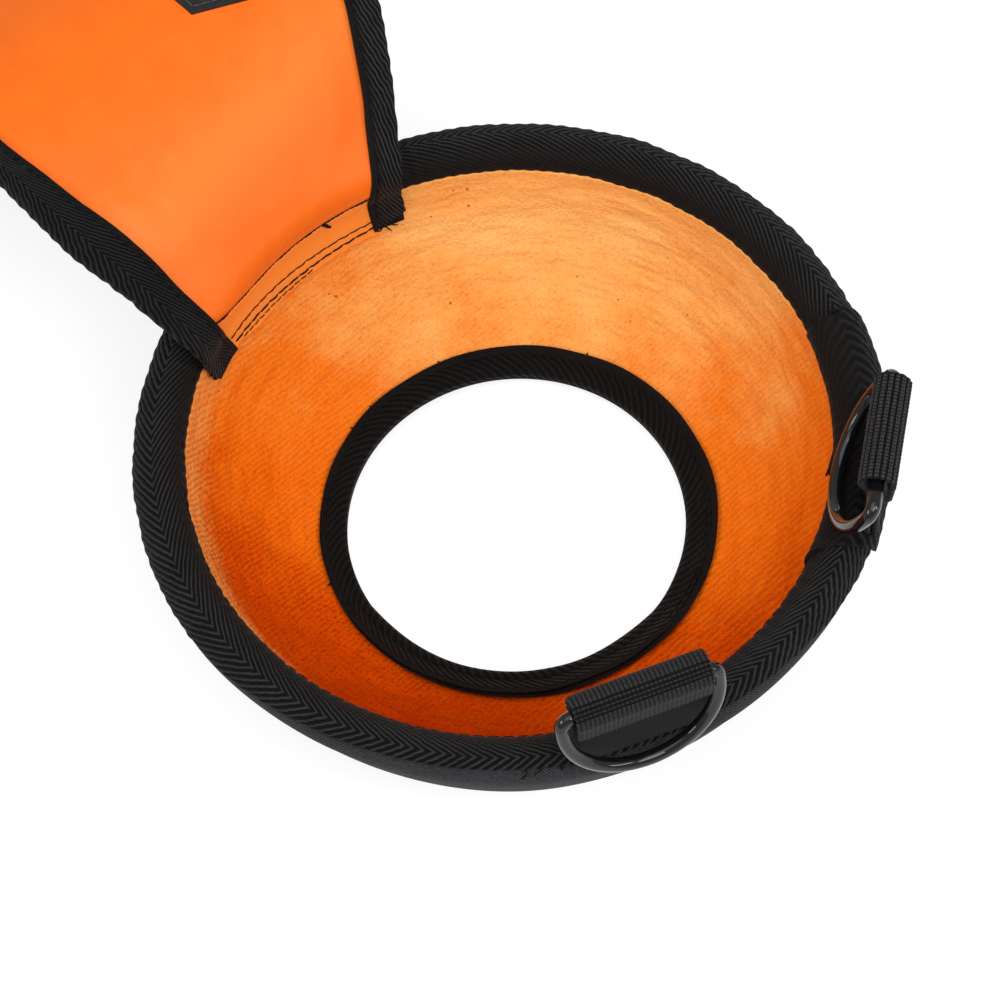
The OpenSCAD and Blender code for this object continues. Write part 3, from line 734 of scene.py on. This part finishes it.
def panel_line():
    """The panel's middle line as (out, up): up the plush, past the rim, over an arch of radius arch_r from the slope
    rises to the slope drapes, straight to the floor. Gives the distance along it, 0 near the fold, and the line,
    its corners rounded by a running mean of 4 mm."""
    low = np.radians(np.linspace(64, 78.5, 30))
    over = np.linspace(np.radians(55.3), drapes, 200)
    arch = np.stack([fold_r + arch_r * (np.sin(rises) - np.sin(over)),
                     fold_high - arch_r * (np.cos(rises) - np.cos(over))], 1)
    line = np.concatenate([np.stack([bowl_x + 45.89 * np.sin(low), bowl_z - 45.89 * np.cos(low)], 1),
                           np.stack([np.full(24, 67.17), np.linspace(38.6, 47.7, 24)], 1), arch,
                           arch[-1] + np.linspace(0.3, 38, 60)[:, None] * [np.cos(drapes), np.sin(drapes)]])
    run = travelled(line)
    at = np.arange(0, run[-1], 0.1)
    line = np.stack([np.interp(at, run, line[:, k]) for k in (0, 1)], 1)
    ends = np.arange(1, 21)[:, None]
    longer = np.concatenate([line[0] + (line[0] - line[1]) * ends[::-1], line,
                             line[-1] + (line[-1] - line[-2]) * ends])
    line = np.stack([np.convolve(longer[:, k], np.ones(41) / 41, "valid") for k in (0, 1)], 1)
    return at - at[np.argmin(np.hypot(*(line - (67.17, 48.0)).T))] + 1.74, line


panel_s, panel_mid = panel_line()
panel_ahead = unit(np.gradient(panel_mid, axis=0))


def on_panel(s, y, t):
    """Places at s along the panel, y to its left and t above its middle; below the fold y is laid round the cup,
    above it straight across."""
    s, y, t = np.broadcast_arrays(s, y, t)
    out, high, dx, dz = (np.interp(s, panel_s, v) for v in (*panel_mid.T, *panel_ahead.T))
    out, high = out - t * dz, high + t * dx
    w = np.clip((11 - s) / 14, 0, 1)
    w = w * w * (3 - 2 * w)
    local = np.stack([out * (1 - w + w * np.cos(y / out)), y * (1 - w) + w * out * np.sin(y / out), high], -1)
    return stand(local, panel_azimuth)


def curve(x, places, values, soft=3.0):
    """A smooth curve near the straight lines through those points, averaged over 2 * soft."""
    return sum(np.interp(x + d, places, values) for d in np.linspace(-soft, soft, 9)) / 9


def ease(x, low, high):
    u = np.clip((x - low) / (high - low), 0, 1)
    return u * u * (3 - 2 * u)


def left_outer(s):
    return curve(s, [-18, -12, 0, 12, 19, 27, 36, 50, 168], [31.3, 32.3, 35.2, 37.1, 39.2, 41.5, 42.3, 42.4, 45])


def left_inner(s):
    return curve(s, [-18, -13, 0, 6, 16, 26, 36, 53, 168], [21.5, 22.2, 25.9, 27.2, 28.4, 30.4, 33.2, 35.8, 36])


def right_outer(s):
    return -curve(s, [-18, -1, 1.5, 9.5, 18, 27, 45, 70, 168], [28.2, 28.5, 29.3, 37, 42, 47.2, 53.5, 56, 58], 2)


def right_inner(s):
    return -curve(s, [-18, -1.5, 2, 11.5, 22, 32, 45, 70, 168], [19.6, 20.6, 22.2, 29.4, 35.1, 40.9, 45.5, 47.5, 49], 2)


def seam_s(y):
    """Where the corded seam crosses: level over most of the width, rising where it nears the left tape."""
    return -5.2 + 4.6 * np.clip((y - 9) / 17, 0, 1.1) ** 2


def cloth_top(s, y):
    """Height of the face above the middle: 0.45 on the hem, 1.35 on the padded part, drawn in at the seam and
    beside the tapes, with slight pulls."""
    beyond = s - seam_s(y)
    puff = 0.45 + 0.9 * ease(beyond, 0.0, 3.2) - 0.45 * np.exp(-(beyond / 0.55) ** 2)
    near = np.minimum(left_inner(s) - y, y - right_inner(s))
    puff += ease(s, 0, 8) * 0.45 * (ease(near, 0, 9) - 1)
    pulls = 0.5 * np.exp(-((s - 27) / 5) ** 2 - ((y - 25 - (s - 27) * 0.5) / 3.2) ** 2)
    pulls = pulls - 0.35 * np.exp(-((s - 22) / 4) ** 2 - ((y - 21) / 3) ** 2)
    broad = 0.22 * np.sin(s / 11 + y / 17) * np.sin(y / 13 - s / 29) + 0.10 * np.sin(s / 4.3 - y / 7.1)
    return puff + ease(s, 4, 16) * (pulls + broad)


def slab(name, s, y, low, high):
    """A closed sheet over the grid s[i], y[i, j] between the heights low and high above the panel's middle."""
    s = (s if s.ndim == 2 else s[:, None]) + 0 * y
    low, high = np.broadcast_to(low, s.shape), np.broadcast_to(high, s.shape)
    rim = np.minimum(1, np.minimum(np.arange(y.shape[1]), np.arange(y.shape[1])[::-1]) / 2)[None, :]
    middle = (low + high) / 2
    top = on_panel(s, y, middle + (high - middle) * rim)
    under = on_panel(s, y, middle - (middle - low) * rim)[:, ::-1][:, 1:-1]
    across = np.concatenate([y.mean(0), y.mean(0)[::-1][1:-1] + 200, [y.mean(0)[0] + 400]])
    return grid_piece(name, np.concatenate([top, under], 1), s[:, 0], across, wrap=(False, True), turned=True,
                      caps=True)


def on_fold(piece):
    """Bakes the piece's placement into its mesh, for a piece that lies across the fold between the ring and the panel.
    """
    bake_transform(piece)


s = np.concatenate([np.arange(-16.4, 12, 0.3), np.arange(12, 165, 0.8)])
part = np.linspace(0, 1, 150)[None, :]
under = 1.5 + 4.5 * ease(s, -8, 0)
y = (right_inner(s) - under)[:, None] * (1 - part) + (left_inner(s) + under)[:, None] * part
s = s[:, None] + (0.1 + 2.3 * ease(y, 13, 22) + 0.12 * np.sin(y * 1.7)) * (1 - ease(s, -16.4, -6))[:, None]
face = slab("panel_cloth", s, y, cloth_top(s, y) - 0.75, cloth_top(s, y))
nylon = Finish("coated_nylon", Roughness=0.44, Specular_IOR_Level=0.26, Sheen_Weight=0.03, Sheen_Roughness=0.35,
               Sheen_Tint=linear(255, 150, 70))
along, across, flat = nylon.laid()
twill = ((along + across) / 0.34).wave() * 0.5 + 0.5
dust = nylon.noise(flat, 7.0, 4.0, 0.6)
grain = nylon.noise(flat, 0.45, 2.0, 0.6)
tone = nylon.mix(linear(245, 106, 10), linear(250, 116, 20), (dust * 0.9 + grain * 0.25 - 0.1).over(0.1, 0.9))
# painted highlight: a paler band across the arch, where the nylon's sheen catches the light
painted_sheen_band = (1 - abs(along - 21 - dust * 8 + across * 0.12) / 15).over(0.0, 1.0)
tone = nylon.mix(tone, linear(252, 134, 44), painted_sheen_band * 0.55)
# painted light: from just above the seam down over the hem the face is painted paler, as light on that steep part
nylon.show("Base Color", nylon.mix(tone, linear(255, 142, 50), (-1.0 - along).over(0.0, 3.0)))
nylon.show("Roughness", grain * 0.10 + 0.42)
nylon.relief(twill * 0.35 + grain * 0.8, 0.035)
face.data.materials.append(nylon.material)
on_fold(face)
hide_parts("panel_face", "panel_hem")

# ---------------------------------------------------------------- panel backing
# The same dark grey cloth as the cup's outside, with the thin padding behind the orange face.
# It ends at the corded seam and is caught in the side tapes.

s = np.concatenate([np.arange(-3.0, 12, 0.5), np.arange(12, 165, 1.2)])
y = (right_inner(s) - 6)[:, None] * (1 - part[:, ::2]) + (left_inner(s) + 6)[:, None] * part[:, ::2]
backing = slab("panel_backing_cloth", s, y, -1.35, cloth_top(s[:, None], y) - 0.80)
backing.data.materials.append(cloth.material)
on_fold(backing)
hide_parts("panel_backing", "panel_padding")

# ---------------------------------------------------------------- panel tapes
# 25 mm herringbone tape folded over each side of the panel and over its far end.
# Both side tapes run on down over the rim as folded tails and are sewn to the plush.

left_tape = herringbone("left_herringbone", 6.0, 1.9, (2.1, 1.8), 40, (0.0, 2.2))
right_tape = herringbone("right_herringbone", lambda along: (along + 16).over(36, 80) * 5.0 + 1.5, 2.0, (2.1, 2.1), 56,
                         (1.2, 4.2))


def tape_top(s):
    """Height of a side tape above the panel's middle: low on the hem, a ridge at the fold, thick on the panel."""
    return 1.05 + 1.1 * ease(s, -6.5, 1.5) + 0.35 * np.exp(-((s + 4.0) / 1.6) ** 2)


def side_binding(name, inner, outer, start_inner, start_outer, seed):
    """A tape folded over one side: over the top from inner to outer, round the edge and back underneath, with a cut
    end that runs from start_inner to start_outer."""
    u = np.linspace(0, 1, 420)[:, None] ** 1.25
    across = np.linspace(0, 1, 26)[None, :]
    begin = start_inner + (start_outer - start_inner) * across
    s = begin + (158.5 - begin) * u
    side = np.sign(outer(10.0))
    ragged = 0.12 * np.cos(2 * np.pi * s / 3.3) + 0.10 * waves(s / 9, across * 0.5, seed, 12, 12, 1)
    y = inner(s) * (1 - across) + (outer(s) + side * ragged) * across
    lump = 0.10 * waves(s / 6, across * 3, seed + 1, 14, 12, 3)
    top = tape_top(s) + lump
    under = -0.55 - 1.6 * ease(s, -5.5, -0.5)
    inset = np.sqrt(np.clip(1 - (np.clip(across - 0.88, 0, 1) / 0.12) ** 2, 0, 1))
    middle = (top[:, -1:] + under[:, -1:]) / 2
    upper = on_panel(s, y, middle + (top - middle) * inset)
    lower = on_panel(s, y, middle + (under - middle) * inset)[:, ::-1][:, 1:]
    hidden = np.linspace(0.0, 0.85, 8)[None, :]
    first = s[:, :1]
    inside = inner(first) * (1 - hidden) + outer(first) * hidden
    pocket_low = on_panel(first, inside, np.maximum(under[:, :1] + 0.5, -1.3))
    pocket_high = on_panel(first, inside, np.minimum(top[:, :1] - 0.5, 1.5))[:, ::-1]
    places = np.concatenate([upper, lower, pocket_low, pocket_high], 1)
    laid = np.concatenate([across[0] * 10, 12 + across[0, 1:] * 10, 60 + hidden[0] * 9, 80 + hidden[0] * 9, [95]])
    made = grid_piece(name, places, s[:, 0], laid, wrap=(False, True), turned=side > 0, caps=True)
    made.data.materials.append((left_tape if side > 0 else right_tape).material)
    return made


for name, *sides in (("left", left_inner, left_outer, -13.8, -11.9, 41),
                     ("right", right_inner, right_outer, -15.2, -12.2, 51)):
    strip = side_binding(name + "_side_tape", *sides)
    on_fold(strip)
    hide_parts("panel_" + name + "_binding", name + "_binding_tail")

s = np.arange(157.5, 168.6, 0.5)
y = right_outer(s)[:, None] * (1 - part[:, ::2]) + left_outer(s)[:, None] * part[:, ::2]
end = slab("end_tape", s, y, -2.1, 2.1)
end_tape = herringbone("end_herringbone", 0.0, 1.9, (1.6, 1.6), 40, (-20, -19), 163)
end.data.materials.append(end_tape.material)
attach(end, "panel")
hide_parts("panel_end_binding")

# ---------------------------------------------------------------- panel sewing
# A corded seam crosses the panel at its foot; below it two rows of lockstitch and a short third one hold the hem
# to the wall, drawn partly into the cloth. Rows of the same thread run along the inner edges of the tapes.


def on_face(s, y, high):
    """Places on the orange face, high above it."""
    return on_panel(s, y, cloth_top(s, y) + high)


y = np.linspace(-20.6, 25.4, 300)
s = seam_s(y) + 0.10 * np.sin(y * 1.9) * np.sin(y * 0.37)
cord = on_face(s, y, 0.10)
thread("seam_cord", cord, 0.35 + 0.05 * np.cos(y * 5.2) + 0.07 * np.sin(y * 0.9), None,
       replaced=["hem_seam_stitching"])

# a knot on the cord, its end lying on the hem
loose = np.linspace(0, 1, 16)
thread("seam_knot", on_face(seam_s(-9.4) + 0.1 - 1.9 * loose ** 1.4, -9.3 - 1.5 * loose,
                            0.30 + 0.25 * np.sin(loose * 3.1)), 0.52 - 0.24 * loose, None)

# each hem row by its name, thread, four points (y, s) on it, radius, stitch and depth between stitches
dark_thread = spun("dark_thread", linear(44, 20, 12), 0.65, 0.15)
for row, spool, points, radius, length, low, replaced in (
        ("upper", dark_thread, ((22.4, -10.6), (8, -11.6), (-6, -12.4), (-20.4, -12.4)), 0.16, 2.9, -0.06,
         ["hem_edge_stitching"]),
        ("lower", black_thread, ((21.6, -12.6), (8, -13.9), (-5, -14.5), (-20.0, -14.1)), 0.22, 3.1, -0.16, []),
        ("stray", dark_thread, ((19.0, -14.0), (12, -14.9), (6, -15.3), (-3.5, -15.5)), 0.14, 1.9, -0.16, [])):
    y_points, s_points = np.array(points).T
    y = np.linspace(y_points[0], y_points[-1], 420)
    s = np.polyval(np.polyfit(y_points, s_points, 3), y) + 0.12 * np.sin(y * 2.1 + len(row)) * np.sin(y * 0.6)
    thread("hem_stitches_" + row, on_face(s, y, stitched(y, length, 0.12, low)), radius, "ring", spool, replaced)

for name, side, inner, s_first, replaced in (("right", -1, right_inner, -12.5, []),
                                             ("left", 1, left_inner, -12.0, ["panel_stitching"])):
    s = np.arange(s_first, 156, 0.25)
    row = on_panel(s, inner(s) + side * 1.4, tape_top(s) + stitched(s, 3.0, 0.16, -0.3))
    thread("tape_stitches_" + name, row, 0.16, None, replaced=replaced)

# cut ends of thread at the lower corner of the right tail
for number, (s0, y0, ds, dy) in enumerate(((-14.6, -22.2, -2.4, -1.2), (-14.4, -23.4, -1.6, -1.9),
                                           (-13.9, -25.2, -1.2, 0.6), (-14.7, -21.2, -0.9, 0.9))):
    height = 1.15 - loose + 0.5 * np.sin(loose * 3)
    thread("tail_fray_%d" % number, on_panel(s0 + ds * loose, y0 + dy * loose, height), 0.19 - 0.08 * loose)

# ---------------------------------------------------------------- bare patch
# A bare black patch of coated fabric with rounded edges, sewn flat on the orange face well up the panel
# with a line of grey thread just inside its edge.

patch_corners = np.array([(50.44, -13.7), (76.71, -12.7), (66.49, -38.7), (40.13, -35.7)])


def on_patch(u, v, high):
    """Places at u, v from 0 to 1 between the patch's four corners, high above the face."""
    shares = (1 - u) * (1 - v), u * (1 - v), u * v, (1 - u) * v
    s, y = (sum(corner[k] * share for corner, share in zip(patch_corners, shares)) for k in (0, 1))
    return on_face(s, y, high)


def bevelled(count):
    """Steps from 0 to 1, closer together by the two ends, and the height of a rounded edge there."""
    step = np.concatenate([[0, 0.004, 0.012, 0.024, 0.04], np.linspace(0.055, 0.945, count),
                           [0.96, 0.976, 0.988, 0.996, 1]])
    return step, np.sqrt(np.clip(1 - (1 - np.clip(np.minimum(step, 1 - step) / 0.04, 0, 1)) ** 2, 0, 1))


u, rise_u = bevelled(60)
v, rise_v = bevelled(60)
height = 0.78 * np.minimum(rise_u[:, None], rise_v[None, :])
height += 0.05 * waves(u[:, None] * 5, v[None, :] * 3, 71, 14, 9, 3)
top = on_patch(u[:, None], v[None, :], 0.10 + height)
below = on_patch(u[:, None], v[None, :], 0.02)[:, ::-1][:, 1:-1]
flat_v = np.concatenate([v * 25, v[::-1][1:-1] * 25 + 60, [120]])
patch = grid_piece("panel_patch_cloth", np.concatenate([top, below], 1), u * 26, flat_v, wrap=(False, True),
                   caps=True)
patch_cloth = Finish("patch_cloth", Roughness=0.55, Specular_IOR_Level=0.3)
along, across, flat = patch_cloth.laid()
weave = ((along + across) / 0.5).wave() * ((along - across) / 0.5).wave()
grain = patch_cloth.noise(flat, 0.9, 3.0, 0.6)
lit = (weave * 0.3 + grain).over(0.1, 1.0)
patch_cloth.show("Base Color", patch_cloth.mix(linear(12, 12, 13), linear(44, 44, 46), lit))
patch_cloth.relief(weave * 0.5 + grain, 0.08)
patch.data.materials.append(patch_cloth.material)
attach(patch, "panel")
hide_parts("panel_patch")

side, near, far = np.linspace(0.06, 0.94, 90), np.full(90, 0.06), np.full(90, 0.94)
u = np.concatenate([side, far, side[::-1], near])
v = np.concatenate([near, side, far, np.linspace(0.94, 0.07, 90)])
sewn = on_patch(u, v, 0.88 + stitched(np.arange(360) * 0.25, 2.6, 0.10, -0.25))
thread("patch_stitches", sewn, 0.16, "panel", spun("grey_thread", linear(74, 74, 78), 0.6, 0.2), ["patch_stitching"])
